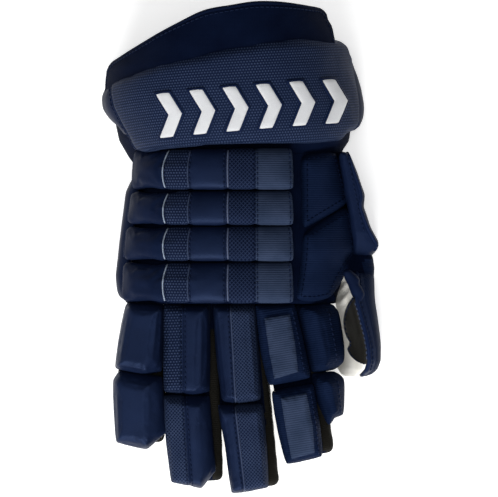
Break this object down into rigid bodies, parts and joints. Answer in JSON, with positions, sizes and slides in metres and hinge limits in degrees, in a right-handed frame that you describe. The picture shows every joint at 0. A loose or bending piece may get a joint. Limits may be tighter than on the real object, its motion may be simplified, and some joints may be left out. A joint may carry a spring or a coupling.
{
  "type": "ice hockey glove",
  "caption": "Right-hand padded ice hockey glove with a four-roll back, two-piece finger pads, flared padded cuff and suede palm, hinged at wrist, knuckles, fingers and thumb.",
  "frame": {"origin": "on the resting plane, under the middle of the outline, palm down", "axes": "+X to the thumb side, +Y from the fingertips to the cuff, +Z out of the back of the hand"},
  "size_m": [0.2041, 0.3559, 0.1049],
  "materials": {
    "navy_leather": "smooth synthetic leather, satin",
    "navy_mesh": "textured nylon mesh",
    "navy_microfibre": "finely ribbed microfibre",
    "lining": "brushed knit lining",
    "embroidery": "raised satin-stitch embroidery",
    "palm_suede": "napped synthetic suede",
    "gusset_mesh": "stretch mesh",
    "grip": "matt textured grip",
    "foam": "closed-cell foam",
    "plastic": "moulded polyethylene sheet"
  },
  "bodies": {
    "hand": {"palm_sheet": "palm_suede", "palm_heel_patch": "palm_suede", "backhand_shell": "lining", "roll_1_cover": "navy_leather", "roll_2_cover": "navy_leather", "roll_3_cover": "navy_leather", "roll_4_cover": "navy_leather", "roll_1_foam": "foam", "roll_2_foam": "foam", "roll_3_foam": "foam", "roll_4_foam": "foam", "thumb_side_panel_upper": "navy_microfibre", "thumb_side_panel_lower": "navy_microfibre", "thumb_side_foam": "foam", "pinky_side_pad": "navy_leather", "thumb_side_flap": "navy_leather"},
    "cuff": {"cuff_cover": "navy_mesh", "cuff_foam": "foam", "cuff_insert": "plastic", "cuff_sleeve": "lining", "cuff_flare": "lining", "cuff_binding": "navy_leather", "cuff_emblem": "embroidery"},
    "pinky_proximal": {"pinky_proximal_pad": "navy_leather", "pinky_proximal_foam": "foam", "pinky_proximal_stall": "gusset_mesh"},
    "pinky_distal": {"pinky_distal_pad": "navy_leather", "pinky_distal_foam": "foam", "pinky_distal_stall": "gusset_mesh"},
    "ring_proximal": {"ring_proximal_pad": "navy_leather", "ring_proximal_foam": "foam", "ring_proximal_stall": "gusset_mesh"},
    "ring_distal": {"ring_distal_pad": "navy_leather", "ring_distal_foam": "foam", "ring_distal_stall": "gusset_mesh"},
    "middle_proximal": {"middle_proximal_pad": "navy_leather", "middle_proximal_foam": "foam", "middle_proximal_stall": "gusset_mesh"},
    "middle_distal": {"middle_distal_pad": "navy_leather", "middle_distal_foam": "foam", "middle_distal_stall": "gusset_mesh"},
    "index_proximal": {"index_proximal_pad": "navy_microfibre", "index_proximal_foam": "foam", "index_proximal_stall": "gusset_mesh", "index_proximal_side_pad": "navy_microfibre", "index_proximal_side_foam": "foam"},
    "index_distal": {"index_distal_pad": "navy_microfibre", "index_distal_foam": "foam", "index_distal_stall": "gusset_mesh", "index_distal_side_pad": "navy_microfibre", "index_distal_side_foam": "foam"},
    "thumb": {"thumb_shell": "navy_leather", "thumb_foam": "foam", "thumb_lock": "plastic", "thumb_stall": "gusset_mesh", "thumb_grip": "grip"}
  },
  "joints": [
    {"name": "wrist_bend", "type": "hinge", "parent": "hand", "child": "cuff", "pos_m": [0, 0.074, 0.08], "axis": [1, 0, 0], "range_deg": [-12, 25], "stiffness_Nm_per_rad": 3},
    {"name": "pinky_knuckle", "type": "hinge", "parent": "hand", "child": "pinky_proximal", "pos_m": [-0.0705, -0.04, 0.014], "axis": [0.999, -0.0436, 0], "range_deg": [0, 60], "stiffness_Nm_per_rad": 0.8},
    {"name": "pinky_middle_joint", "type": "hinge", "parent": "pinky_proximal", "child": "pinky_distal", "pos_m": [-0.07262, -0.08845, 0.014], "axis": [0.999, -0.0436, 0], "range_deg": [0, 60], "stiffness_Nm_per_rad": 0.5},
    {"name": "ring_knuckle", "type": "hinge", "parent": "hand", "child": "ring_proximal", "pos_m": [-0.0345, -0.04, 0.014], "axis": [0.9986, 0.0523, 0], "range_deg": [0, 60], "stiffness_Nm_per_rad": 0.8},
    {"name": "ring_middle_joint", "type": "hinge", "parent": "ring_proximal", "child": "ring_distal", "pos_m": [-0.03102, -0.10641, 0.014], "axis": [0.9986, 0.0523, 0], "range_deg": [0, 60], "stiffness_Nm_per_rad": 0.5},
    {"name": "middle_knuckle", "type": "hinge", "parent": "hand", "child": "middle_proximal", "pos_m": [0.002, -0.04, 0.014], "axis": [0.9969, 0.0785, 0], "range_deg": [0, 60], "stiffness_Nm_per_rad": 0.8},
    {"name": "middle_middle_joint", "type": "hinge", "parent": "middle_proximal", "child": "middle_distal", "pos_m": [0.00773, -0.11277, 0.014], "axis": [0.9969, 0.0785, 0], "range_deg": [0, 60], "stiffness_Nm_per_rad": 0.5},
    {"name": "index_knuckle", "type": "hinge", "parent": "hand", "child": "index_proximal", "pos_m": [0.0355, -0.04, 0.014], "axis": [0.9877, 0.1564, 0], "range_deg": [0, 60], "stiffness_Nm_per_rad": 0.8},
    {"name": "index_middle_joint", "type": "hinge", "parent": "index_proximal", "child": "index_distal", "pos_m": [0.04512, -0.10074, 0.014], "axis": [0.9877, 0.1564, 0], "range_deg": [0, 60], "stiffness_Nm_per_rad": 0.5},
    {"name": "thumb_bend", "type": "hinge", "parent": "hand", "child": "thumb", "pos_m": [0.085, -0.0125, 0.016], "axis": [0.9986, 0.0523, 0], "range_deg": [-5, 25], "stiffness_Nm_per_rad": 0.8}
  ]
}
